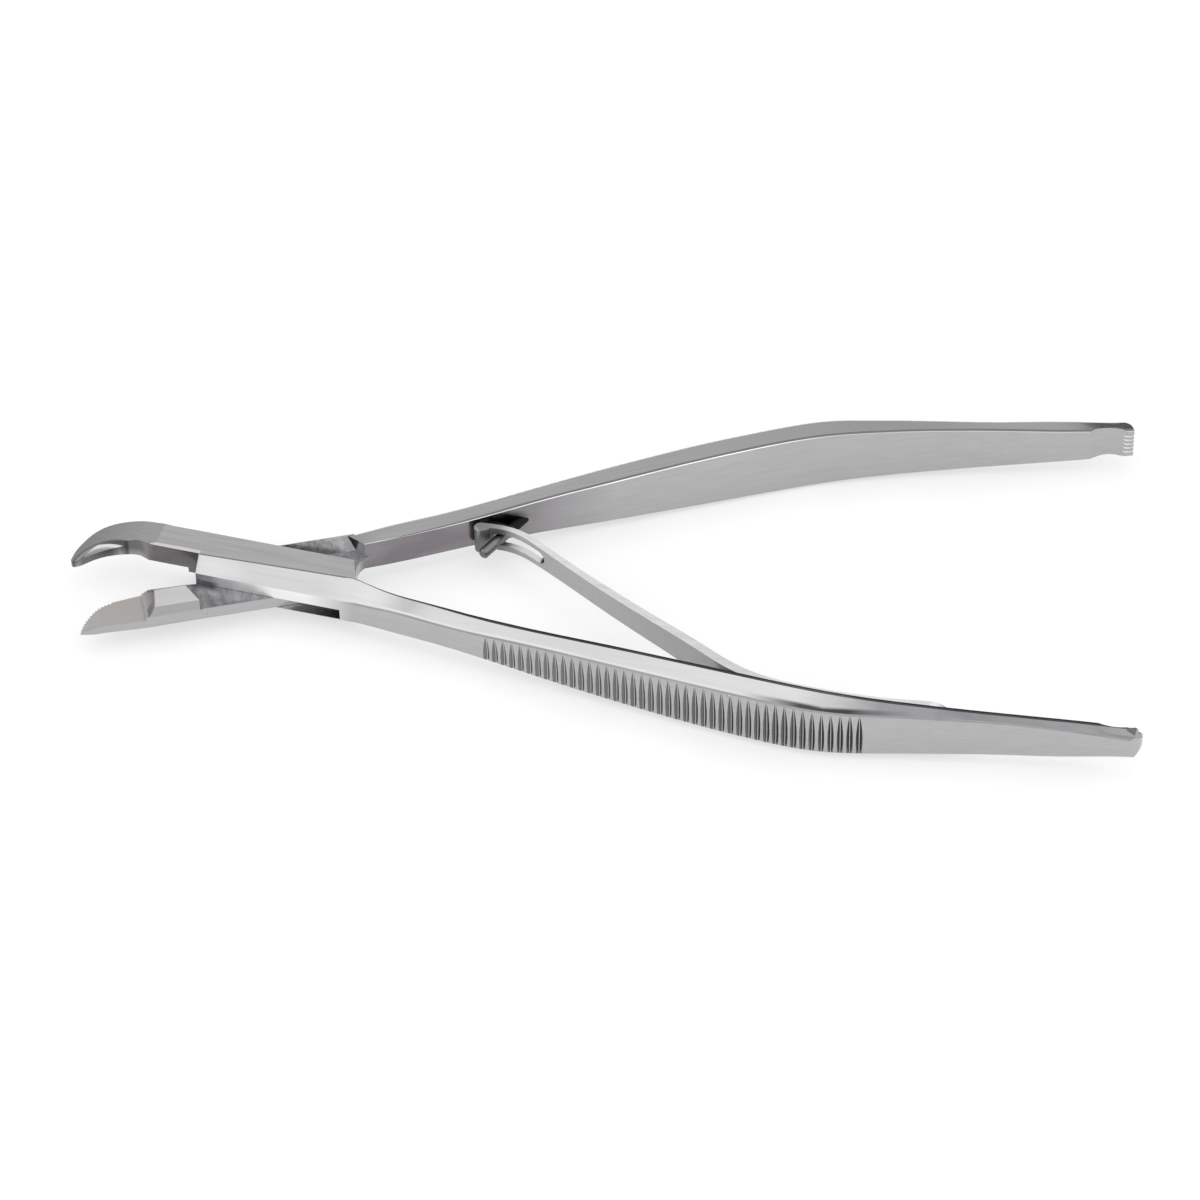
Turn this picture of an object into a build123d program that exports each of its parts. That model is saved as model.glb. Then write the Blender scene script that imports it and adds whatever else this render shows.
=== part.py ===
from build123d import *
from math import atan2, cos, degrees, radians, sin
import os

# Sprung box-joint pliers with a hooked beak and a toothed blade.
#
# Frame: millimetres.  The origin is on the pivot axis in the flat back face of
# the joint, +Z runs along the pivot pin towards the front cheek, +X runs from
# the pivot towards the handle ends and the jaws point to -X.  The pliers are
# drawn at rest, sprung open.  Everything is modelled about the middle plane of
# the joint and lifted by half the joint's thickness when it is written out.
#
# Each half is modelled in its own neutral frame, in which its handle lies
# along +X, and is then turned by half the rest opening.  The "box half" has
# the beak above the axis and its handle below it.  The "tongue half" has the
# blade below the axis and its handle above it.

# ---------------------------------------------------------------- dimensions
REST_HALF_ANGLE = 13.8        # each half is turned this far at rest, degrees

BOX_HALF_THICK = 4.5          # flat faces of the joint stand at +-this height
RIDGE_HALF = 2.25             # outer side face of the joint, half height
SIDE = 5.0                    # outer side face, distance from the pivot axis
CHEEK_EDGE = 2.8              # free edge of the cheeks, other side of the axis
BOX_LEFT = -12.5
BOX_RIGHT = 14.6

TONGUE_TOP = -0.05
TONGUE_BOTTOM = -2.35
SLIDE_GAP = 0.05              # between the tongue and each cheek
TONGUE_RADIUS = 13.5
MORTISE_RADIUS = 13.8

PIN_RADIUS = 1.6
PIN_CLEARANCE = 0.04          # radial, in the tongue only
PIN_BACK_CHAMFER = 0.08

STUD_RADIUS = 0.95
STUD_TIP = (35.0, -2.6)       # free end, neutral frame of the tongue half
STUD_LEAN = 40.0              # angle between the stud and the handle, degrees
STUD_LENGTH = 13.2

GROOVE_COUNT = 43
GROOVE_FIRST = 39.3
GROOVE_PITCH = 1.542
GROOVE_DEPTH = 0.45
GROOVE_FLANK = 1.1            # width over depth of each sloping side
GROOVE_FLOOR = 0.07           # half width of the flat at the bottom
GROOVE_SHIFT = 1.6            # the wheel runs this far off the middle plane
GROOVE_LAND = 0.5             # left between the groove's tip and the other ridge
WHEEL_PROUD = 0.16            # the wheel's section stands this far above the face

SCOOP_RADIUS = 6.0            # finger scoop inside the handle's end
SCOOP_BACK = 5.2              # its centre lies this far before the end
SCOOP_DROP = 5.1              # and this far below the inner face
LIP_TEETH = (-1.8, -0.9, 0, 0.9, 1.8)
LIP_TOOTH = 0.5
END_ROUND = 2.0               # rounded outer corner at the very end

SPRING_GAP = 0.02
FOOT_THICK = 1.3
FOOT_END = 118.0
FOOT_HALF_WIDTH = 4.2
SPRING_HALF_WIDTH = 2.4       # at the free end
SLOT_HALF_WIDTH = 1.3
SLOT_FROM = 32.6
SLOT_TO = 42.8

SCREW_X = 107.0               # spring screw, neutral frame of the box half
SCREW_SHANK = 1.1
SCREW_HEAD = 2.1
SCREW_HEAD_HEIGHT = 0.8

# Handle outline in the neutral frame: distance along the handle and the
# distance of the inner and outer faces from the axis, then their half widths.
# The tongue half's handle is left thicker from its bend to its end.
INNER_FACE = [(12, 1.2), (22, 1.65), (34, 2.85), (47, 4.25), (60, 5.2), (76, 6.4), (92, 7.2),
              (101, 6.95), (112, 5.7), (124, 3.8), (138, 1.25), (150, -0.6)]
OUTER_FACE = [(12, 5.1), (22, 5.5), (34, 6.75), (47, 8.1), (60, 9.5), (76, 11.0), (90, 11.8)]
BOX_OUTER_END = [(99, 11.5), (111, 8.95), (124, 6.1), (132, 4.7), (138, 3.7), (144, 2.7), (150, 1.95)]
TONGUE_OUTER_END = [(99, 11.8), (111, 9.6), (124, 6.75), (132, 5.4), (138, 4.6), (144, 3.75), (150, 3.05)]
INNER_HALF_WIDTH = [(22, 2.9), (34, 3.05), (47, 3.8), (60, 4.55), (76, 5.3), (92, 5.6),
                    (102, 5.35), (120, 4.55), (138, 3.5), (150, 2.95)]
OUTER_HALF_WIDTH = [(22, 2.75), (34, 2.8), (47, 3.7), (60, 4.4), (76, 4.95), (92, 5.1),
                    (102, 4.85), (120, 4.3), (132, 3.75), (138, 3.3), (144, 2.65), (150, 2.25)]
TONGUE_HANDLE_END = 149.8
BOX_HANDLE_END = 148.9
BOX_INNER_ROUND = 1.2         # how far the inner edge is rolled over
TONGUE_INNER_ROUND = 0.5
ROLL_FROM = 9.0               # the rolled edge grows from nothing here
ROLL_FULL = 40.0              # to its full size here
OUTER_ROUND = 0.45
HANDLE_STATIONS = (22, 28, 34, 41, 48, 56, 64, 72, 80, 88, 95, 102, 109, 117, 125, 132, 138, 144)

THROUGH = 6.0                 # tools this far above and below cut right through

os.makedirs("parts", exist_ok=True)


# ------------------------------------------------------------------- helpers
def curve(points):
    """Return a smooth function through the points (cubic between neighbours)."""
    xs = [p[0] for p in points]
    ys = [p[1] for p in points]
    last = len(points) - 1
    slopes = []
    for i in range(len(points)):
        before = max(i - 1, 0)
        after = min(i + 1, last)
        slopes.append((ys[after] - ys[before]) / (xs[after] - xs[before]))

    def value(x):
        i = 0
        while i < last - 1 and x > xs[i + 1]:
            i += 1
        step = xs[i + 1] - xs[i]
        t = (x - xs[i]) / step
        start = ys[i] * (1 + 2 * t) * (1 - t) ** 2 + slopes[i] * step * t * (1 - t) ** 2
        end = ys[i + 1] * t * t * (3 - 2 * t) + slopes[i + 1] * step * t * t * (t - 1)
        return start + end

    return value


inner_y = curve(INNER_FACE)
box_outer_y = curve(OUTER_FACE + BOX_OUTER_END)
tongue_outer_y = curve(OUTER_FACE + TONGUE_OUTER_END)
inner_w = curve(INNER_HALF_WIDTH)
outer_w = curve(OUTER_HALF_WIDTH)


def section_points(y_in, y_out, z_in, z_out, roll):
    """Handle section: flat inner face, sloping top, rounded outer ridge."""
    upper = [
        (y_in, z_in - 0.3 * roll),
        (y_in + 0.2 * roll, z_in - 0.06 * roll),
        (y_in + 0.58 * roll, z_in + 0.08 * roll),
        (y_in + roll, z_in + 0.2 * roll),
        (y_out - 1.2 * OUTER_ROUND, z_out),
        (y_out - 0.4 * OUTER_ROUND, z_out - 0.45 * OUTER_ROUND),
        (y_out, z_out - 1.2 * OUTER_ROUND),
    ]
    return upper + [(y, -z) for y, z in reversed(upper)]


def handle(root, end, outer_y, roll, side):
    """One handle above the axis.

    root lists the sections before x = 22, roll is the size of the rolled inner
    edge and side (1 or -1) the edge over which the grip grooves run out.
    """
    stations = list(root)
    for x in (*HANDLE_STATIONS, end):
        stations.append((x, inner_y(x), outer_y(x), inner_w(x), outer_w(x)))
    with BuildPart() as blank:
        for x, y_in, y_out, z_in, z_out in stations:
            grown = roll * min(1, (x - ROLL_FROM) / (ROLL_FULL - ROLL_FROM))
            with BuildSketch(Plane.YZ.offset(x)):
                Polygon(section_points(y_in, y_out, z_in, z_out, grown), align=None)
        loft()

        # grip grooves, cut by a V-edged wheel that runs out over one ridge only
        for i in range(GROOVE_COUNT):
            x = GROOVE_FIRST + i * GROOVE_PITCH
            slope = atan2(outer_y(x + 0.5) - outer_y(x - 0.5), 1.0)
            reach = outer_w(x) + GROOVE_SHIFT - GROOVE_LAND
            radius = (reach ** 2 + GROOVE_DEPTH ** 2) / (2 * GROOVE_DEPTH)
            depth = GROOVE_DEPTH + WHEEL_PROUD
            foot = Plane(
                origin=(x, outer_y(x), side * GROOVE_SHIFT),
                x_dir=(cos(slope), sin(slope), 0),
                z_dir=(0, 0, 1),
            )
            with BuildSketch(foot):
                Polygon(
                    [(-GROOVE_FLOOR, -GROOVE_DEPTH), (GROOVE_FLOOR, -GROOVE_DEPTH),
                     (GROOVE_FLOOR + GROOVE_FLANK * depth, WHEEL_PROUD),
                     (-GROOVE_FLOOR - GROOVE_FLANK * depth, WHEEL_PROUD)],
                    align=None,
                )
            centre = foot.from_local_coords(Vector(0, radius - GROOVE_DEPTH, 0))
            revolve(axis=Axis(centre, foot.x_dir), mode=Mode.SUBTRACT)

        # finger scoop inside the end, then the fine teeth on the end lip
        scoop_x = end - SCOOP_BACK
        with BuildSketch(Plane.XY.offset(-THROUGH)):
            with Locations((scoop_x, inner_y(scoop_x) - SCOOP_DROP)):
                Circle(SCOOP_RADIUS)
        extrude(amount=2 * THROUGH, mode=Mode.SUBTRACT)
        for z in LIP_TEETH:
            with BuildSketch(Plane.YZ.offset(end - 1.9)):
                with Locations((inner_y(end - 1) + 0.1, z)):
                    Rectangle(LIP_TOOTH, LIP_TOOTH, rotation=45)
            extrude(amount=3, mode=Mode.SUBTRACT)

        # rounded outer corner at the very end
        corner = outer_y(end)
        arc_start = (end - END_ROUND, corner + 0.3)
        arc_middle = (end - 0.3 * END_ROUND, corner - 0.3 * END_ROUND)
        arc_end = (end, corner - END_ROUND)
        with BuildSketch(Plane.XY.offset(-THROUGH)):
            with BuildLine():
                ThreePointArc(arc_start, arc_middle, arc_end)
                Polyline(arc_end, (end + 1, corner - END_ROUND), (end + 1, corner + END_ROUND),
                         (end - END_ROUND, corner + END_ROUND), arc_start)
            make_face()
        extrude(amount=2 * THROUGH, mode=Mode.SUBTRACT)
    return blank.part


def wedge(points, z_low, z_high):
    """Prism over an XY outline, used as a cutting tool."""
    with BuildPart() as tool:
        with BuildSketch(Plane.XY.offset(z_low)):
            Polygon(points, align=None)
        extrude(amount=z_high - z_low)
    return tool.part


# ------------------------------------------------------------------ box half
BEVEL_TOP_LEFT = -2.7         # where the bevel meets the flat face, each end
BEVEL_TOP_RIGHT = -1.6
FREE_CORNER = [(13.1, 3.2), (14.6, -1.0), (15.2, -1.5), (16.5, -1.75), (16.5, 3.2)]
SHANK_FACE = -2.1             # side of the beak's shank that faces the blade
SHANK_FROM = -24.0            # the shank's lower bevel starts under the hook here
TOP_BEVEL_FROM = -21.6        # and its upper bevel here
HOLLOW_CENTRE = (-27.6, -7.6) # the inside of the hook is ground round this point
WEB = [(-16.4, 1.4), (-16.4, CHEEK_EDGE), (-12, CHEEK_EDGE), (-12, 1.4)]
MOUTH_CENTRE = (15.0, 1.0)    # the mortise opens beside the handle's root here
MOUTH_LENGTH = 4.0
MOUTH_WIDTH = 4.4
SCREW_DEPTH = 2.2
# what is cut from the end of the handle, seen from its outer side
BOX_NOSE = [(-2.4, 3.1), (-1.0, 2.5), (0, 1.1), (1, 1.1), (1, 4), (-2.4, 4)]


def cheek_bar():
    """Both cheeks as one bevelled bar, with the slanted free corner cut."""
    with BuildPart() as bar:
        for x, y_top in ((BOX_LEFT, BEVEL_TOP_LEFT), (BOX_RIGHT + 1, BEVEL_TOP_RIGHT)):
            with BuildSketch(Plane.YZ.offset(x)):
                Polygon(
                    [(CHEEK_EDGE, -BOX_HALF_THICK), (CHEEK_EDGE, BOX_HALF_THICK),
                     (y_top, BOX_HALF_THICK), (-SIDE, RIDGE_HALF),
                     (-SIDE, -RIDGE_HALF), (y_top, -BOX_HALF_THICK)],
                    align=None,
                )
        loft(ruled=True)
        add(wedge(FREE_CORNER, -THROUGH, THROUGH), mode=Mode.SUBTRACT)
    return bar.part


def beak():
    """Hooked beak and its shank, on the front half of the thickness."""
    with BuildPart() as hook:
        with BuildSketch():
            with BuildLine():
                outer = Spline(
                    (-15.0, CHEEK_EDGE), (-20.5, 2.9), (-24.2, 3.5), (-27.5, 3.25), (-30.6, 2.15),
                    (-32.85, -0.2), (-34.1, -3.3), (-34.4, -6.1),
                    tangents=((-1, 0), (0, -1)),
                )
                tip = ThreePointArc(outer @ 1, (-34.15, -6.7), (-33.5, -6.65))
                lip = Spline(tip @ 1, (-31.8, -5.1), (-29.2, -2.9), (-27, -1.85), (-24.4, -1.2),
                             tangents=((1, 0.45), (1, 0.1)))
                neck = Spline(lip @ 1, (-22.9, -1.55), (-21.2, SHANK_FACE),
                              tangents=((1, 0.05), (1, -0.15)))
                Polyline(neck @ 1, (BOX_LEFT, SHANK_FACE), (BOX_LEFT, CHEEK_EDGE), (-15.0, CHEEK_EDGE))
            make_face()
        extrude(amount=BOX_HALF_THICK)

        # the top falls away towards the tip
        with BuildSketch(Plane.XZ.offset(-6)):
            Polygon([(-20.4, BOX_HALF_THICK), (-36, 0.75), (-36, 6), (-20.4, 6)], align=None)
        extrude(amount=14, mode=Mode.SUBTRACT)

        # hollow ground inside of the hook
        hollow_x, hollow_y = HOLLOW_CENTRE
        with BuildSketch(Plane.XZ.offset(-hollow_y)):
            Polygon([(hollow_x, 5), (hollow_x, 0.9), (hollow_x - 3.6, 0.9), (hollow_x - 6, 2.0),
                     (hollow_x - 6.5, 5)], align=None)
        revolve(axis=Axis((hollow_x, hollow_y, 0), (0, 0, 1)), mode=Mode.SUBTRACT)

        # bevels along the top and bottom inner edges of the shank
        top_edge = SHANK_FACE + 0.35
        with BuildSketch(Plane.YZ.offset(TOP_BEVEL_FROM)):
            Polygon([(top_edge, BOX_HALF_THICK), (top_edge + 0.05, BOX_HALF_THICK + 0.05),
                     (SHANK_FACE - 0.1, BOX_HALF_THICK + 0.05), (SHANK_FACE - 0.1, BOX_HALF_THICK - 0.45)],
                    align=None)
        extrude(amount=BOX_LEFT - TOP_BEVEL_FROM, mode=Mode.SUBTRACT)
        with BuildSketch(Plane.YZ.offset(SHANK_FROM)):
            Polygon([(SHANK_FACE + 0.3, -0.05), (SHANK_FACE - 1.05, 1.3), (SHANK_FACE - 1.05, -0.05)],
                    align=None)
        extrude(amount=BOX_LEFT - SHANK_FROM, mode=Mode.SUBTRACT)
    return hook.part


def box_root():
    """Handle sections that grow out of the box on the handle side."""
    return [
        (12.6, 1.65, 4.99, 4.38, 2.4),
        (15.7, 1.6, 5.12, 4.48, 2.55),
        (18.5, 1.6, 5.27, 3.6, 2.6),
    ]


with BuildPart() as box_neutral:
    add(cheek_bar())
    add(mirror(handle(box_root(), BOX_HANDLE_END, box_outer_y, BOX_INNER_ROUND, -1), about=Plane.XZ))
    # the end of this handle is rounded front and back too
    for side in (1, -1):
        with BuildSketch(Plane.XZ.offset(-4)):
            Polygon([(BOX_HANDLE_END + dx, side * z) for dx, z in BOX_NOSE], align=None)
        extrude(amount=8, mode=Mode.SUBTRACT)
    add(beak())
    # narrow web that ties the two cheeks together behind the beak
    add(wedge(WEB, -BOX_HALF_THICK, 0.5))
    # mortise for the tongue, open on both sides and towards the jaws
    with BuildSketch(Plane.XY.offset(TONGUE_BOTTOM - SLIDE_GAP)):
        Circle(MORTISE_RADIUS)
        with Locations(MOUTH_CENTRE):
            Rectangle(MOUTH_LENGTH, MOUTH_WIDTH)
    extrude(amount=-TONGUE_BOTTOM + SLIDE_GAP, mode=Mode.SUBTRACT)
    # pivot bore and the hole for the spring screw
    Cylinder(PIN_RADIUS, 2 * BOX_HALF_THICK + 2, mode=Mode.SUBTRACT)

# the spring screw stands square to the inner face of the handle
screw_slope = atan2(inner_y(SCREW_X - 0.5) - inner_y(SCREW_X + 0.5), 1.0)
screw_seat = Plane(
    origin=(SCREW_X, -inner_y(SCREW_X), 0),
    x_dir=(cos(screw_slope), sin(screw_slope), 0),
    z_dir=(-sin(screw_slope), cos(screw_slope), 0),
)


def screw_cylinder(radius, low, high):
    """Cylinder on the screw's axis, heights measured from the handle's face."""
    with BuildPart() as rod:
        with BuildSketch(screw_seat.offset(low)):
            Circle(radius)
        extrude(amount=high - low)
    return rod.part


box_solid = box_neutral.part - screw_cylinder(SCREW_SHANK, -SCREW_DEPTH, 1)


# --------------------------------------------------------------- tongue half
BLADE_TOP = -0.7
BLADE_BOTTOM = -2.35
BLADE_CENTRE = (-26.5, -7.5)  # centre of the toothed edge
BLADE_RADIUS = 8.1
TOOTH_COUNT = 13
TOOTH_FIRST = 158.0           # degrees round the edge's centre
TOOTH_PITCH = 4.6
TOOTH_CUT = 0.6               # side of the square notches


def tongue():
    """Round tongue with the arm that runs out to the blade."""
    with BuildPart() as slab:
        with BuildSketch(Plane.XY.offset(TONGUE_BOTTOM)):
            Circle(TONGUE_RADIUS)
            with Locations((0, SIDE + 5), (0, -SIDE - 5)):
                Rectangle(40, 10, mode=Mode.SUBTRACT)
            with BuildLine():
                Polyline((-12, -4.95), (-22.9, -5.1), (-22.9, 0.7), (-21.6, 1.5), (-16, 1.35), (-12, 1.0),
                         (-12, -4.95))
            make_face()
            with BuildLine():
                ThreePointArc((13.35, -1.9), (14.5, 0.2), (17, 1.4))
                Polyline((17, 1.4), (17, 3), (11, 3), (11, -1.9), (13.35, -1.9))
            make_face()
        extrude(amount=TONGUE_TOP - TONGUE_BOTTOM)
    return slab.part


def rim():
    """Raised outer rim beside the cheeks, sloping down to the tongue face."""
    with BuildPart() as rail:
        with BuildSketch(Plane.YZ.offset(1.4)):
            Polygon([(3.15, TONGUE_BOTTOM), (3.15, TONGUE_TOP), (4.85, 2.1), (SIDE, 2.1),
                     (SIDE, -RIDGE_HALF), (4.9, TONGUE_BOTTOM)], align=None)
        extrude(amount=13)
    return rail.part


def blade():
    """Flat blade with fine teeth round its convex edge."""
    cx, cy = BLADE_CENTRE
    with BuildPart() as flat:
        with BuildSketch(Plane.XY.offset(BLADE_BOTTOM)):
            with BuildLine():
                start = (cx + BLADE_RADIUS * cos(radians(160)), cy + BLADE_RADIUS * sin(radians(160)))
                crown = (cx + BLADE_RADIUS * cos(radians(128)), cy + BLADE_RADIUS * sin(radians(128)))
                end = (cx + BLADE_RADIUS * cos(radians(99)), cy + BLADE_RADIUS * sin(radians(99)))
                ThreePointArc(start, crown, end)
                Line(end, (-22, 1.2))
                Polyline((-22, 1.2), (-22, -5.1), (-25, -5.0))
                Spline((-25, -5.0), (-30, -4.75), start, tangents=((-1, 0.02), (-1, 0.1)))
            make_face()
        extrude(amount=BLADE_TOP - BLADE_BOTTOM)
        # ground thin towards the tip, from above and below
        with BuildSketch(Plane.XZ.offset(-4)):
            Polygon([(-30.4, BLADE_TOP), (-36, -1.9), (-36, 1), (-30.4, 1)], align=None)
            Polygon([(-31.5, BLADE_BOTTOM), (-36, -1.6), (-36, -4), (-31.5, -4)], align=None)
        extrude(amount=12, mode=Mode.SUBTRACT)
        for i in range(TOOTH_COUNT):
            angle = TOOTH_FIRST - i * TOOTH_PITCH
            with BuildSketch(Plane.XY.offset(BLADE_BOTTOM - 1)):
                with Locations((cx + (BLADE_RADIUS + 0.1) * cos(radians(angle)),
                                cy + (BLADE_RADIUS + 0.1) * sin(radians(angle)))):
                    Rectangle(TOOTH_CUT, TOOTH_CUT, rotation=angle + 45)
            extrude(amount=4, mode=Mode.SUBTRACT)
    return flat.part


def jaw_block():
    """Bevelled block that carries the blade."""
    with BuildPart() as block:
        with BuildSketch(Plane.YZ.offset(-22.9)):
            Polygon([(-3.1, BLADE_BOTTOM), (-3.1, 4.35), (-3.25, 4.35), (-5.1, RIDGE_HALF),
                     (-5.1, -RIDGE_HALF), (-5.0, BLADE_BOTTOM)], align=None)
        extrude(amount=9.8)
        # slanted end towards the joint
        add(wedge([(-15.9, -3.0), (-13.5, -5.3), (-12, -5.3), (-12, -3.0)], TONGUE_TOP, 6),
            mode=Mode.SUBTRACT)
        # steep concave shoulder down to the blade
        with BuildSketch(Plane.XZ.offset(2)):
            with BuildLine():
                Polyline((-20.9, 6), (-24, 6), (-24, BLADE_TOP), (-22.9, BLADE_TOP))
                ThreePointArc((-22.9, BLADE_TOP), (-21.6, 1.4), (-20.9, 6))
            make_face()
        extrude(amount=4, mode=Mode.SUBTRACT)
    return block.part


def tongue_root():
    """Handle sections at the shoulder of the tongue half."""
    return [
        (12.0, 1.15, 4.95, 2.9, 2.3),
        (17.0, 1.35, 5.05, 2.85, 2.5),
    ]


with BuildPart() as tongue_neutral:
    add(handle(tongue_root(), TONGUE_HANDLE_END, tongue_outer_y, TONGUE_INNER_ROUND, 1))
    # the full thickness stops at slanted shoulders, front and back
    shoulder = [(11, 6), (12.7, 6), (13.3, 4.6), (15.75, 1.0), (15.75, 0), (11, 0)]
    add(wedge(shoulder, TONGUE_TOP, 5), mode=Mode.SUBTRACT)
    add(wedge(shoulder, -5, TONGUE_BOTTOM), mode=Mode.SUBTRACT)
    add(tongue())
    add(rim())
    add(jaw_block())
    add(blade())
    Cylinder(PIN_RADIUS + PIN_CLEARANCE, 12, mode=Mode.SUBTRACT)

stud_along = Vector(cos(radians(STUD_LEAN)), sin(radians(STUD_LEAN)), 0)
stud_plane = Plane(origin=(STUD_TIP[0], STUD_TIP[1], 0), z_dir=stud_along)
with BuildPart() as stud_neutral:
    with BuildSketch(stud_plane):
        Circle(STUD_RADIUS)
    extrude(amount=STUD_LENGTH)
    chamfer(stud_neutral.faces().sort_by(Axis.X)[0].edges(), 0.25)

tongue_solid = tongue_neutral.part - stud_neutral.part


# ----------------------------------------------------------------- pivot pin
with BuildPart() as pivot_pin:
    Cylinder(PIN_RADIUS, 2 * BOX_HALF_THICK)
    chamfer(pivot_pin.faces().sort_by(Axis.Z)[0].edges(), PIN_BACK_CHAMFER)


# --------------------------------------------------------------- leaf spring
def foot_under(x):
    """Underside of the spring foot, just clear of the handle's inner face."""
    return -inner_y(x) + SPRING_GAP


with BuildPart() as spring_neutral:
    with BuildSketch(Plane.XY.offset(-6)):
        with BuildLine():
            upper = Spline(
                (31.0, 18.9), (33.6, 19.1), (36.3, 19.0), (38.9, 18.4), (42, 16.9), (46.6, 14.4),
                (57, 8.95), (65, 5.0), (74, 0.55), (80, -2.8), (86, -5.1), (92, foot_under(92) + FOOT_THICK),
                (99, foot_under(99) + FOOT_THICK), (106, foot_under(106) + FOOT_THICK),
                (112, foot_under(112) + FOOT_THICK),
                (FOOT_END - 1.2, foot_under(FOOT_END - 1.2) + FOOT_THICK - 0.1),
                tangents=((1, 0.12), (1, 0.12)),
            )
            ThreePointArc(upper @ 1, (FOOT_END - 0.2, foot_under(FOOT_END - 0.3) + 0.75),
                          (FOOT_END, foot_under(FOOT_END)))
            lower = Spline(
                (FOOT_END, foot_under(FOOT_END)), (112, foot_under(112)), (106, foot_under(106)),
                (99, foot_under(99)), (92, foot_under(92)), (86.5, foot_under(86.5) + 0.35), (80, -4.5),
                (73.4, -0.85), (64.4, 3.75), (56.4, 7.75), (46.1, 13.35), (41.5, 15.85),
                (38.5, 17.3), (36.0, 18.0), (33.5, 18.1), (32.5, 18.0),
            )
            ThreePointArc(lower @ 1, (31.5, 17.05), (30.6, 16.65))
            ThreePointArc((30.6, 16.65), (29.7, 17.75), upper @ 0)
        make_face()
    extrude(amount=12)

    # plan outline: narrow blade, wide foot with a rounded end
    with BuildSketch(Plane.XZ.offset(-30)) as plan:
        with BuildLine():
            front = Spline((28, SPRING_HALF_WIDTH), (37, 2.45), (46, 2.2), (56, 2.3), (65, 2.5),
                           (72, 2.75), (80, 3.4), (88, 4.1), (96, FOOT_HALF_WIDTH),
                           (FOOT_END - 3.6, FOOT_HALF_WIDTH))
            ThreePointArc(front @ 1, (FOOT_END + 0.4, 0), (FOOT_END - 3.6, -FOOT_HALF_WIDTH))
            mirror(front, about=Plane.XZ)
            Line((28, SPRING_HALF_WIDTH), (28, -SPRING_HALF_WIDTH))
        make_face()
    extrude(amount=60, mode=Mode.INTERSECT)

    # closed slot through which the catch stud passes
    with BuildSketch(Plane.XZ.offset(-30)):
        with Locations(((SLOT_FROM + SLOT_TO) / 2, 0)):
            SlotOverall(SLOT_TO - SLOT_FROM, 2 * SLOT_HALF_WIDTH)
    extrude(amount=60, mode=Mode.SUBTRACT)

# -------------------------------------------------------------- spring screw
HEAD_SEAT = FOOT_THICK + 0.08
with BuildPart() as spring_screw:
    add(screw_cylinder(SCREW_SHANK, -SCREW_DEPTH, HEAD_SEAT))
    add(screw_cylinder(SCREW_HEAD, HEAD_SEAT, HEAD_SEAT + SCREW_HEAD_HEIGHT))
    head_rim = spring_screw.faces().sort_by(Axis.Y)[-1].edges()
    fillet(head_rim, 0.3)
    with BuildSketch(screw_seat.offset(HEAD_SEAT + SCREW_HEAD_HEIGHT - 0.4)):
        Rectangle(6, 0.5)
    extrude(amount=1, mode=Mode.SUBTRACT)
spring_solid = spring_neutral.part - screw_cylinder(SCREW_SHANK + 0.1, -1, 6)


# ------------------------------------------------------- rest pose and files
def placed(solid, angle):
    return Pos(0, 0, BOX_HALF_THICK) * solid.rotate(Axis.Z, angle)


pieces = {
    "box_half": placed(box_solid, -REST_HALF_ANGLE),
    "tongue_half": placed(tongue_solid, REST_HALF_ANGLE),
    "pivot_pin": placed(pivot_pin.part, 0),
    "catch_stud": placed(stud_neutral.part, REST_HALF_ANGLE),
    "leaf_spring": placed(spring_solid, -REST_HALF_ANGLE),
    "spring_screw": placed(spring_screw.part, -REST_HALF_ANGLE),
}
for name, solid in pieces.items():
    solid.label = name
    export_step(solid, "parts/" + name + ".step")
    box = solid.bounding_box()
    print(name, len(solid.solids()), "solid", round(solid.volume, 1), "mm3", box.min, box.max)
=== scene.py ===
import bmesh
import bpy
from math import cos, pi, radians, sin
from mathutils import Matrix, Vector


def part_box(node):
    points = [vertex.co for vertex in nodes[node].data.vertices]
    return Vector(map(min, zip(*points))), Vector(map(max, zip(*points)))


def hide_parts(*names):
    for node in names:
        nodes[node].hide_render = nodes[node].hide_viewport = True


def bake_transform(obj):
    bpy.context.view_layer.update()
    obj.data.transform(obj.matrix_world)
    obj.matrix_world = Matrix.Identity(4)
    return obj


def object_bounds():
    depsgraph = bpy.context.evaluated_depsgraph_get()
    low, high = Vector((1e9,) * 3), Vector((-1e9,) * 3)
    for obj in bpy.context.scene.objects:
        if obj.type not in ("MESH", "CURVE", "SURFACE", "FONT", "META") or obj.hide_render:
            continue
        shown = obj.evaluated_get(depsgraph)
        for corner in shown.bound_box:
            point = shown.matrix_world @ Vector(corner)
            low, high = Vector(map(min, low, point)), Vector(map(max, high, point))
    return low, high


# Looks for the sprung box-joint pliers.  Metres, in the frame of the CAD part:
# the pivot stands on the origin along +Z, the handles run to +X and the jaws
# point to -X.  Each half lies at HALF_ANGLE to the X axis at rest.

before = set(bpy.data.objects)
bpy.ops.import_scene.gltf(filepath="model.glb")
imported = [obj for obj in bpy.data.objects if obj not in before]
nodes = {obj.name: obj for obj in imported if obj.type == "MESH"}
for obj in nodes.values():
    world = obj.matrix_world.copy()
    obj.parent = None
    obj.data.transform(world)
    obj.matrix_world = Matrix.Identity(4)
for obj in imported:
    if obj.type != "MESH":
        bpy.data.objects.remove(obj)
cad_low, cad_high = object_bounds()

MM = 0.001
HALF_ANGLE = radians(13.8)
BOX_GRAIN = -HALF_ANGLE       # direction in which each half was ground
TONGUE_GRAIN = HALF_ANGLE
pin_low, pin_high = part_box("pivot_pin")
MID_HEIGHT = (pin_low.z + pin_high.z) / 2


# ------------------------------------------------------------ shader helpers
def new_material(name):
    """Empty node material with an output; returns the material and its tree."""
    material = bpy.data.materials.new(name)
    material.use_nodes = True
    material.node_tree.nodes.clear()
    return material, material.node_tree


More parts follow.
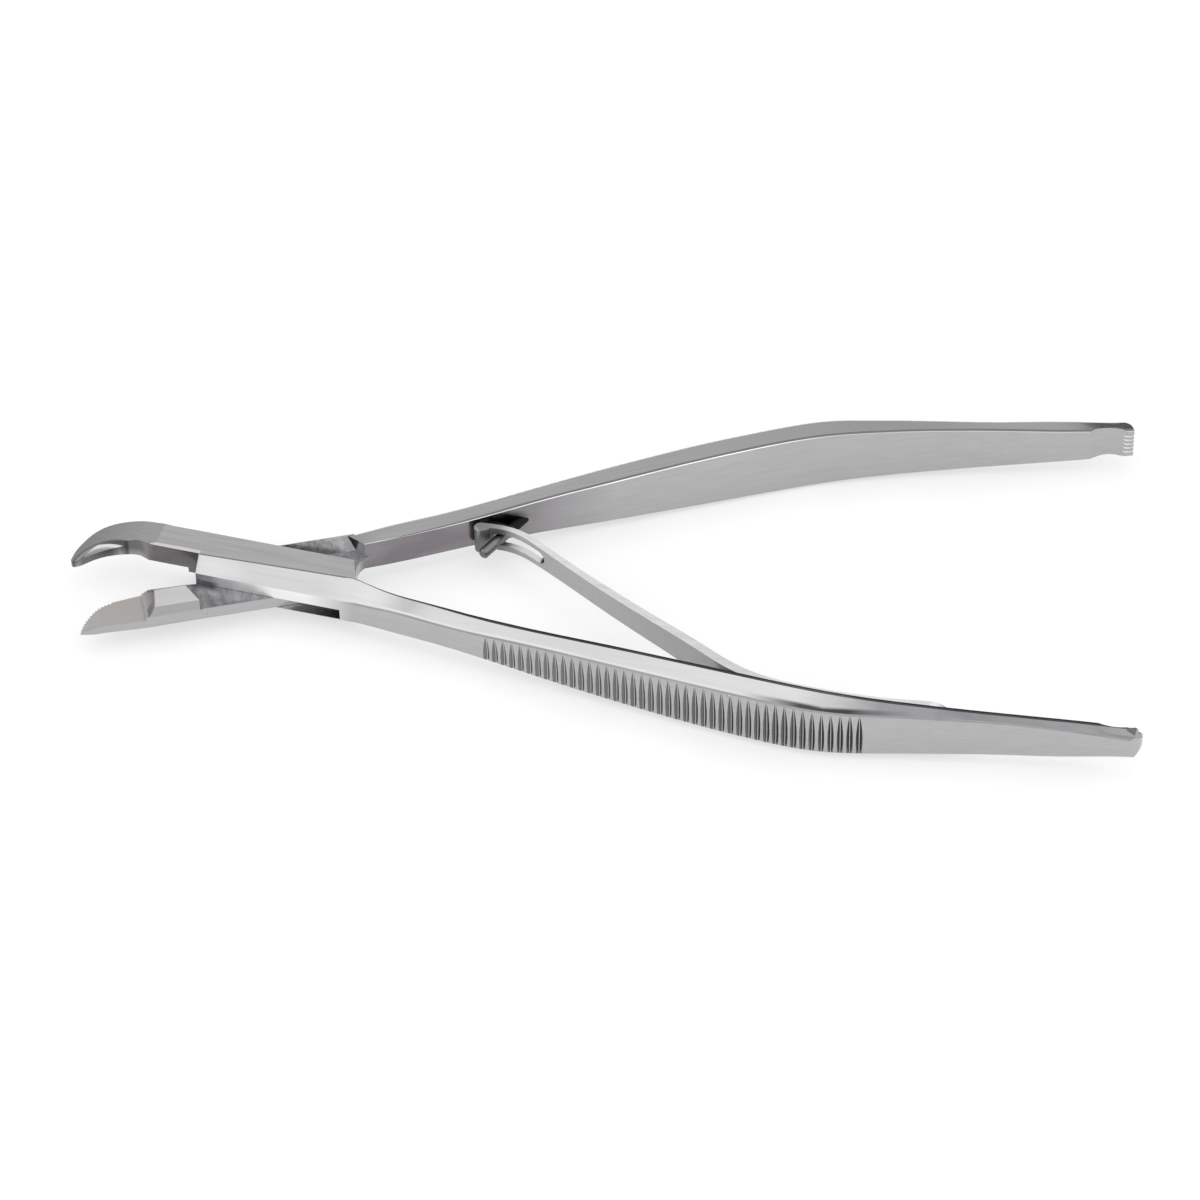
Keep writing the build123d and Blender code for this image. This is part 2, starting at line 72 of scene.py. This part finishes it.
def add_node(tree, kind, inputs=None, **settings):
    """One node with its settings; inputs maps socket names to values or sockets."""
    node = tree.nodes.new(kind)
    for key, value in settings.items():
        setattr(node, key, value)
    for key, value in (inputs or {}).items():
        if isinstance(value, bpy.types.NodeSocket):
            tree.links.new(value, node.inputs[key])
        else:
            node.inputs[key].default_value = value
    return node


def math_node(tree, operation, first, second=0.0):
    return add_node(tree, "ShaderNodeMath", {0: first, 1: second}, operation=operation).outputs[0]


def remap(tree, value, low, high, new_low, new_high):
    """Linear map of value from low..high to new_low..new_high, clamped."""
    inputs = {"Value": value, "From Min": low, "From Max": high, "To Min": new_low, "To Max": new_high}
    return add_node(tree, "ShaderNodeMapRange", inputs, clamp=True).outputs["Result"]


def ramp(tree, value, stops):
    """Colour ramp through (position, colour) stops."""
    node = add_node(tree, "ShaderNodeValToRGB", {"Fac": value})
    elements = node.color_ramp.elements
    while len(elements) < len(stops):
        elements.new(0.5)
    for element, (position, colour) in zip(elements, stops):
        element.position = position
        element.color = (*colour, 1)
    return node.outputs["Color"]


def combine(tree, operation, first, second, third):
    """Maths node with three inputs, such as first * second + third."""
    return add_node(tree, "ShaderNodeMath", {0: first, 1: second, 2: third}, operation=operation).outputs[0]


def mix_colour(tree, factor, first, second, blend="MIX"):
    node = add_node(tree, "ShaderNodeMix", data_type="RGBA", blend_type=blend)
    for socket, value in ((node.inputs[0], factor), (node.inputs[6], first), (node.inputs[7], second)):
        if isinstance(value, bpy.types.NodeSocket):
            tree.links.new(value, socket)
        else:
            socket.default_value = value
    return node.outputs[2]


def noise(tree, vector, scale, detail=3.0, stretch=(1, 1, 1), roughness=0.5):
    """Noise over millimetre coordinates, stretched along the grain."""
    scaled = add_node(tree, "ShaderNodeVectorMath", {0: vector, 1: stretch}, operation="MULTIPLY")
    inputs = {"Vector": scaled.outputs[0], "Scale": scale, "Detail": detail, "Roughness": roughness}
    return add_node(tree, "ShaderNodeTexNoise", inputs).outputs["Fac"]


# ----------------------------------------------------------------- materials
DARK_STREAK = (0.94, 0.94, 0.94)          # shares of the steel's own tone
LIGHT_STREAK = (1.05, 1.04, 1.06)
MATTE_ROUGHNESS = 0.3


def half_place(tree, grain):
    """Position in millimetres and surface normal, both in the frame of one half."""
    coords = add_node(tree, "ShaderNodeTexCoord")
    along = add_node(
        tree, "ShaderNodeMapping",
        {"Vector": coords.outputs["Object"], "Rotation": (0, 0, -grain), "Scale": (1000, 1000, 1000)},
    ).outputs[0]
    turned = add_node(
        tree, "ShaderNodeMapping",
        {"Vector": coords.outputs["Normal"], "Rotation": (0, 0, -grain)},
    ).outputs[0]
    position = add_node(tree, "ShaderNodeSeparateXYZ", {0: along})
    normal = add_node(tree, "ShaderNodeSeparateXYZ", {0: turned})
    return {
        "along": along,
        "x": position.outputs["X"],
        "y": position.outputs["Y"],
        "z": math_node(tree, "SUBTRACT", position.outputs["Z"], MID_HEIGHT / MM),
        "nx": normal.outputs["X"],
        "ny": normal.outputs["Y"],
        "nz": normal.outputs["Z"],
    }


def above(tree, value, limit, soft):
    """Mask: 1 above the limit, 0 below it, with a soft step."""
    return remap(tree, value, limit - soft / 2, limit + soft / 2, 0, 1)


def below(tree, value, limit, soft):
    """Mask: 1 below the limit, 0 above it, with a soft step."""
    return remap(tree, value, limit - soft / 2, limit + soft / 2, 1, 0)


def between(tree, value, low, high, soft):
    """Mask: 1 from low to high, with soft steps at both."""
    return both(tree, above(tree, value, low, soft), below(tree, value, high, soft))


def both(tree, *masks):
    """Product of masks."""
    result = masks[0]
    for mask in masks[1:]:
        result = math_node(tree, "MULTIPLY", result, mask)
    return result


def shade(tree, colour, mask, tint):
    """Multiply the colour by a grey or coloured tint where the mask is 1."""
    if not isinstance(tint, tuple):
        tint = (tint, tint, tint)
    return mix_colour(tree, mask, colour, (*tint, 1), "MULTIPLY")


def radius_from(tree, x, y, centre):
    """Distance from a point, in the plane of the two coordinates."""
    across = math_node(tree, "SUBTRACT", x, centre[0])
    over = math_node(tree, "SUBTRACT", y, centre[1])
    square = math_node(tree, "POWER", across, 2.0)
    other_square = math_node(tree, "POWER", over, 2.0)
    return math_node(tree, "SQRT", math_node(tree, "ADD", square, other_square))


def steel(name, grain, level, flat_roughness, polish, finish_and_painted_light=None):
    """Ground and polished steel: long streaks along the grain, smoother on the bevels.

    The optional function adds real marks and painted light and shade to the colour, and returns it with a
    mask of the matte places.
    """
    material, tree = new_material(name)
    place = half_place(tree, grain)
    streaks = noise(tree, place["along"], 1.6, 4, (0.05, 1.0, 1.0))
    hairlines = noise(tree, place["along"], 5.0, 2, (0.03, 1.0, 1.0))
    clouds = noise(tree, place["along"], 0.16, 4, (0.5, 1.0, 1.0))
    flat = above(tree, math_node(tree, "ABSOLUTE", place["nz"]), 0.975, 0.04)

    tone = combine(tree, "MULTIPLY_ADD", streaks, 0.5, 0.25)
    dark = tuple(level * share for share in DARK_STREAK)
    light = tuple(level * share for share in LIGHT_STREAK)
    colour = ramp(tree, tone, [(0.36, dark), (0.64, light)])
    on_bevels = remap(tree, streaks, 0.3, 0.7, polish, polish + 0.08)
    on_flats = remap(tree, streaks, 0.3, 0.7, flat_roughness - 0.04, flat_roughness + 0.04)
    choice = add_node(tree, "ShaderNodeMix", {0: flat, 2: on_bevels, 3: on_flats}, data_type="FLOAT")
    roughness = choice.outputs[0]
    if finish_and_painted_light:
        colour, matte = finish_and_painted_light(tree, place, colour, clouds)
        roughness = math_node(tree, "ADD", roughness, math_node(tree, "MULTIPLY", matte, MATTE_ROUGHNESS))

    coarse = math_node(tree, "MULTIPLY", streaks, 0.4)
    fine = math_node(tree, "MULTIPLY", hairlines, 0.6)
    bump = add_node(
        tree, "ShaderNodeBump",
        {"Strength": 0.08, "Distance": 0.02 * MM, "Height": math_node(tree, "ADD", coarse, fine)},
    ).outputs[0]
    shader = add_node(
        tree, "ShaderNodeBsdfPrincipled",
        {"Base Color": colour, "Metallic": 1.0, "Roughness": roughness, "Normal": bump},
    )
    add_node(tree, "ShaderNodeOutputMaterial", {"Surface": shader.outputs[0]})
    return material


# Places on the two halves where the finish and the painted light and shade change.  Millimetres from the
# pivot, along (x) and across (y) each half with its handle on +X, z from its middle plane.
JAW_END = -12.4                           # the cheeks end here on the jaw side
CHEEK_SIDE_TO = 11
BEVEL_EDGE = 2.7, 1.6                     # flat face to bevel, at the jaws and at the handle
SHANK_END = -22.5                         # the beak's shank runs from here to the cheeks
HOOK_FROM = -24
HOOK_CENTRE = (-27.6, -7.6)               # the hook is ground round this point
HOLLOW_RADIUS = 6.45                      # and the hollow reaches out to here
STUD_ROOT = (39.9, 0.9)                   # along the handle and above its middle plane
STUD_SPREAD = 3.8
GROOVES_FROM, GROOVES_TO = 37, 106        # grip grooves along each half
BEND_FROM = 92                            # the handle's back bends in from here
RIM_FROM, RIM_TO = 2.8, 5                 # slope from the tongue up to its outer rim
BLADE_TO = -21.5                          # the blade lies beyond here
CURL_TO = 36                              # the spring's curled tip ends here
STUD_FREE = 26                            # free end of the stud, along its own axis


def groove_painted_shade(tree, place, colour):
    """Painted shade in the grip grooves: darker on the side that faces the handle's end."""
    in_grooves = between(tree, place["x"], GROOVES_FROM, GROOVES_TO, 1)
    to_end = both(tree, above(tree, place["nx"], 0.38, 0.1), remap(tree, place["x"], 50, 90, 0.8, 1))
    to_joint = both(tree, below(tree, place["nx"], -0.38, 0.1), remap(tree, place["x"], 50, 90, 0.3, 0.95))
    colour = shade(tree, colour, both(tree, in_grooves, to_end), 0.3)
    return shade(tree, colour, both(tree, in_grooves, to_joint), 0.35)


def box_stains_and_painted_light(tree, place, colour, clouds):
    """Stained shank; painted shade in the hollow, on the beak and on the handle's bend and rolled edge;
    painted reflections and shadow on the cheek.
    """
    x, y, z = place["x"], place["y"], place["z"]
    up = above(tree, place["nz"], 0.6, 0.2)
    front = below(tree, place["ny"], -0.75, 0.2)
    mottle = remap(tree, clouds, 0.35, 0.65, 0.75, 1)

    colour = groove_painted_shade(tree, place, colour)
    # cheek: painted dark line beside its bevel, painted shade on the bevel, painted reflection brightening
    # the side, and a painted shadow in the side's corner at the jaw end
    past_jaw_end = above(tree, x, JAW_END - 0.05, 0.1)
    from_bevel = math_node(tree, "ADD", y, remap(tree, x, -12.5, 15.6, *BEVEL_EDGE))
    line = both(
        tree, between(tree, x, JAW_END, 14, 0.5), above(tree, place["nz"], 0.97, 0.02),
        between(tree, from_bevel, -0.05, 0.3, 0.15),
    )
    colour = shade(tree, colour, line, 0.5)
    bevel = both(tree, past_jaw_end, below(tree, x, 13, 8), between(tree, place["nz"], 0.4, 0.93, 0.05))
    colour = shade(tree, colour, bevel, 0.88)
    side = both(tree, front, between(tree, x, JAW_END, CHEEK_SIDE_TO, 8), past_jaw_end)
    colour = shade(tree, colour, side, 1.9)
    corner = both(tree, side, below(tree, x, -9, 2), below(tree, z, 0.9, 0.6))
    colour = shade(tree, colour, corner, 0.08)
    # shank and hooked beak, seen from the blade
    shank = both(tree, front, between(tree, x, SHANK_END, JAW_END - 0.1, 1.5), mottle)
    colour = shade(tree, colour, shank, (0.34, 0.31, 0.31))
    # painted shade on the beak's front face, stronger towards its top
    lip = both(tree, front, below(tree, x, SHANK_END, 1.5), remap(tree, z, 0, 1.6, 0.35, 1))
    colour = shade(tree, colour, lip, 0.35)
    # hollow ground inside of the hook: painted shade, left bright only along its middle as a painted
    # highlight
    from_hook = radius_from(tree, x, y, HOOK_CENTRE)
    hollow = both(tree, below(tree, from_hook, HOLLOW_RADIUS, 0.2), below(tree, x, HOOK_FROM, 1))
    away_from_middle = below(tree, between(tree, from_hook, 5.4, 6.0, 0.5), 0.5, 1)
    colour = shade(tree, colour, both(tree, hollow, away_from_middle), 0.4)
    # painted shade: the beak's top darkens softly towards its tip
    tip = both(tree, up, above(tree, from_hook, HOLLOW_RADIUS, 0.2), below(tree, x, -28, 10))
    colour = shade(tree, colour, tip, 0.72)
    # painted dark reflection on the rolled inner edge of the handle
    turned_in = remap(tree, place["ny"], 0.02, 0.2, 0, 1)
    rolled = both(tree, turned_in, between(tree, x, 26, BEND_FROM, 16), mottle)
    colour = shade(tree, colour, rolled, 0.3)
    # painted shade on the top of the handle beyond the bend, and a painted dark reflection streak along its
    # ridge
    bend = both(tree, up, above(tree, x, BEND_FROM + 8, 14), mottle)
    colour = shade(tree, colour, bend, (0.36, 0.36, 0.38))
    ridge = remap(tree, x, BEND_FROM + 6, BEND_FROM + 29, 11.75, 6.9)
    from_ridge = math_node(tree, "ADD", y, ridge)
    streak = both(tree, between(tree, from_ridge, -0.2, 0.9, 0.5), between(tree, x, BEND_FROM - 3, 107, 10))
    return shade(tree, colour, both(tree, up, streak), 0.12), side


def tongue_marks_and_painted_light(tree, place, colour, clouds):
    """Darker inner face near the joint; painted dark lines, highlights and light on the handle; painted
    shadow round the stud; rough tongue partly in painted shade; matte blade.
    """
    x, y, z = place["x"], place["y"], place["z"]
    up = above(tree, place["nz"], 0.85, 0.2)
    front = below(tree, place["ny"], -0.75, 0.2)
    mottle = remap(tree, clouds, 0.35, 0.65, 0.7, 1)

    colour = groove_painted_shade(tree, place, colour)
    inner = both(tree, front, above(tree, x, 13, 2), remap(tree, x, 38, 60, 1, 0), mottle)
    colour = shade(tree, colour, inner, (0.5, 0.46, 0.49))
    # painted dark line where the top meets the rolled edge, and a painted highlight along the edge below it
    edge = both(tree, between(tree, place["ny"], -0.5, -0.12, 0.06), above(tree, x, 20, 4))
    colour = shade(tree, colour, edge, 0.25)
    painted_highlight_edge = both(
        tree, between(tree, place["ny"], -0.88, -0.6, 0.04), above(tree, place["nz"], 0.4, 0.1),
        between(tree, x, 24, BEND_FROM, 12),
    )
    colour = shade(tree, colour, painted_highlight_edge, 1.8)
    # painted light: the top of the handle is brightened a little
    handle_top = both(tree, up, above(tree, x, 16, 4))
    colour = shade(tree, colour, handle_top, 1.12)
    # shadowed oval round the root of the catch stud
    squeezed = combine(tree, "MULTIPLY_ADD", z, 1.9, STUD_ROOT[1] * -0.9)
    from_stud = radius_from(tree, x, squeezed, STUD_ROOT)
    near_stud = below(tree, from_stud, STUD_SPREAD, STUD_SPREAD / 2)
    colour = shade(tree, colour, both(tree, front, near_stud), 0.25)
    # rough face of the tongue beside the cheeks, and the slope up to its rim: darker patches, partly rough
    # finish and partly painted shade of the recess
    rough = noise(tree, place["along"], 0.9, 4, (1.0, 0.35, 1.0), 0.7)
    patches = remap(tree, rough, 0.35, 0.65, 0.45, 1)
    tongue = both(tree, up, between(tree, x, -22, 16, 1), below(tree, z, 0.5, 0.4))
    colour = shade(tree, colour, both(tree, tongue, patches), (0.38, 0.38, 0.41))
    slope = both(
        tree, between(tree, place["nz"], 0.3, 0.85, 0.1), between(tree, y, RIM_FROM, RIM_TO, 0.2),
        between(tree, x, -5, 16, 2), remap(tree, x, 6, 16, 1, 0.5),
    )
    colour = shade(tree, colour, both(tree, slope, patches), (0.22, 0.22, 0.25))
    # blade and the block that carries it
    blade = both(tree, up, below(tree, x, BLADE_TO, 1))
    colour = shade(tree, colour, blade, (0.88, 0.84, 0.81))
    block = both(tree, between(tree, x, -23, -11, 0.5), above(tree, z, 0, 0.5))
    return shade(tree, colour, both(tree, block, mottle), 0.82), blade


def spring_painted_light(tree, place, colour, clouds):
    """Painted highlight on the strip's long edges, slightly darker faces, painted shade on its curled tip,
    which is also rougher.
    """
    mottle = remap(tree, clouds, 0.35, 0.65, 0.9, 1)
    # painted shade on the curled tip, painted highlight along the long edge
    tip = below(tree, place["x"], CURL_TO, 4)
    edge = both(tree, above(tree, place["nz"], 0.8, 0.2), above(tree, place["x"], CURL_TO - 2, 4))
    colour = shade(tree, colour, both(tree, below(tree, place["nz"], 0.7, 0.1), mottle), 0.86)
    colour = shade(tree, colour, edge, 1.75)
    return shade(tree, colour, tip, 0.5), tip


def stud_painted_shadow(tree, place, colour, clouds):
    """Painted shadow: the catch stud darkens towards its root, which is also rougher."""
    root = above(tree, place["x"], STUD_FREE + 6, 2)
    return shade(tree, colour, root, 0.12), root


def dress(name, material):
    """Give a CAD node one material."""
    mesh = nodes[name].data
    mesh.materials.clear()
    mesh.materials.append(material)


box_steel = steel("box_half_steel", BOX_GRAIN, 0.45, 0.24, 0.12, box_stains_and_painted_light)
tongue_steel = steel("tongue_half_steel", TONGUE_GRAIN, 0.44, 0.24, 0.14, tongue_marks_and_painted_light)
spring_steel = steel("spring_strip_steel", BOX_GRAIN, 0.45, 0.22, 0.16, spring_painted_light)
# the stud's low level, 0.15, is painted shade over the whole stud
stud_steel = steel("stud_steel_painted_shade", TONGUE_GRAIN + radians(40), 0.15, 0.3, 0.22, stud_painted_shadow)
screw_steel = steel("screw_steel", 0, 0.48, 0.3, 0.22)

dress("box_half", box_steel)
dress("pivot_pin", box_steel)
dress("tongue_half", tongue_steel)
dress("catch_stud", stud_steel)
dress("spring_screw", screw_steel)


# --------------------------------------------------------------- leaf spring
CUTS_FROM = (96, -6)          # the mesh is sliced fine a little past both
CUTS_TO = (64, 3)
BEND_CUTS = 60
SHARP_ANGLE = radians(28)


def from_box_half(x, y):
    """Point of the middle plane given in millimetres along and across the box half."""
    turned = Matrix.Rotation(BOX_GRAIN, 3, "Z") @ Vector((x * MM, y * MM, 0))
    return Vector((turned.x, turned.y, MID_HEIGHT))


def cut_across(mesh_data, start, end, count):
    """Slice a mesh across the line start-end, so that it can bend smoothly there."""
    mesh = bmesh.new()
    mesh.from_mesh(mesh_data)
    bmesh.ops.remove_doubles(mesh, verts=mesh.verts, dist=0.001 * MM)
    direction = (end - start).normalized()
    for i in range(count + 1):
        point = start.lerp(end, i / count)
        geometry = mesh.verts[:] + mesh.edges[:] + mesh.faces[:]
        bmesh.ops.bisect_plane(mesh, geom=geometry, plane_co=point, plane_no=direction, dist=0.0005 * MM)
    mesh.to_mesh(mesh_data)
    mesh.free()


def make_spring():
    """Sliced copy of the strip, cut finely across the stretch where it would bend, in place of the CAD
    strip.
    """
    data = nodes["leaf_spring"].data.copy()
    cut_across(data, from_box_half(*CUTS_FROM), from_box_half(*CUTS_TO), BEND_CUTS)
    data.set_sharp_from_angle(angle=SHARP_ANGLE)
    piece = bpy.data.objects.new("spring_strip", data)
    bpy.context.scene.collection.objects.link(piece)
    data.materials.clear()
    data.materials.append(spring_steel)
    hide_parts("leaf_spring")
    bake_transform(piece)
    return piece


make_spring()


# ------------------------------------------------------------- studio stage
FLOOR_HALF = 3.0
FLOOR_GAP = 0.0002


def make_floor():
    """Plain pale floor just under the object, lit from below like a light table."""
    material, tree = new_material("floor_paint")
    coords = add_node(tree, "ShaderNodeTexCoord")
    speckle = add_node(tree, "ShaderNodeTexNoise", {"Vector": coords.outputs["Object"], "Scale": 40.0})
    colour = ramp(tree, speckle.outputs["Fac"], [(0.4, (0.33, 0.33, 0.33)), (0.6, (0.35, 0.35, 0.35))])
    glow = {"Emission Color": (1, 1, 1, 1), "Emission Strength": 0.55}
    shader = add_node(tree, "ShaderNodeBsdfPrincipled", {"Base Color": colour, "Roughness": 0.9, **glow})
    add_node(tree, "ShaderNodeOutputMaterial", {"Surface": shader.outputs[0]})

    data = bpy.data.meshes.new("floor")
    corners = [(-FLOOR_HALF, -FLOOR_HALF, 0), (FLOOR_HALF, -FLOOR_HALF, 0),
               (FLOOR_HALF, FLOOR_HALF, 0), (-FLOOR_HALF, FLOOR_HALF, 0)]
    data.from_pydata(corners, [], [(0, 1, 2, 3)])
    data.materials.append(material)
    floor = bpy.data.objects.new("floor", data)
    floor.location = (0, 0, cad_low.z - FLOOR_GAP)
    bpy.context.scene.collection.objects.link(floor)


# brightness of the studio at angles from the back horizon over the top, degrees
SKY = [
    (0, 0.06), (11, 0.1), (21, 0.72), (45, 0.7),
    (56, 1.6), (90, 1.75), (135, 1.7), (160, 1.0), (180, 0.6),
]
BRIGHTEST = 1.8               # the ramp holds values below one


def make_sky():
    """Large soft boxes overhead and in front, falling off to a dim back wall."""
    world = bpy.data.worlds.new("studio")
    bpy.context.scene.world = world
    world.use_nodes = True
    tree = world.node_tree
    tree.nodes.clear()
    coords = add_node(tree, "ShaderNodeTexCoord")
    direction = add_node(tree, "ShaderNodeSeparateXYZ", {0: coords.outputs["Generated"]})
    angle = math_node(tree, "ARCTAN2", direction.outputs["Z"], direction.outputs["Y"])
    share = math_node(tree, "DIVIDE", angle, pi)
    stops = [(degrees / 180, (value / BRIGHTEST,) * 3) for degrees, value in SKY]
    colour = ramp(tree, share, stops)
    is_camera = add_node(tree, "ShaderNodeLightPath").outputs["Is Camera Ray"]
    shown = mix_colour(tree, is_camera, colour, (0.6, 0.6, 0.6, 1))
    background = add_node(tree, "ShaderNodeBackground", {"Color": shown, "Strength": BRIGHTEST})
    add_node(tree, "ShaderNodeOutputWorld", {"Surface": background.outputs[0]})


CAMERA_ELEVATION = radians(45)
CAMERA_AZIMUTH = radians(-3.21)
CAMERA_ROLL = radians(-1.5)
CAMERA_DISTANCE = 0.9
LENS = 159.84
SENSOR_WIDTH = 36.0
AIM_SIDE = -0.0006            # the view's centre from the middle of the object
AIM_BACK = -0.0008
AIM_DOWN = 0.0039


def make_camera():
    """Long lens looking down at 45 degrees, a little to the left of square on."""
    towards = Vector((
        -sin(CAMERA_AZIMUTH) * cos(CAMERA_ELEVATION),
        -cos(CAMERA_AZIMUTH) * cos(CAMERA_ELEVATION),
        sin(CAMERA_ELEVATION),
    ))
    aim = Vector(((cad_low.x + cad_high.x) / 2 + AIM_SIDE, AIM_BACK, MID_HEIGHT - AIM_DOWN))
    data = bpy.data.cameras.new("camera")
    data.lens = LENS
    data.sensor_width = SENSOR_WIDTH
    camera = bpy.data.objects.new("camera", data)
    bpy.context.scene.collection.objects.link(camera)
    turn = towards.to_track_quat("Z", "Y").to_matrix().to_4x4() @ Matrix.Rotation(CAMERA_ROLL, 4, "Z")
    camera.matrix_world = Matrix.Translation(aim + towards * CAMERA_DISTANCE) @ turn
    bpy.context.scene.camera = camera


make_floor()
make_sky()
make_camera()
bpy.context.scene.view_settings.view_transform = "Standard"
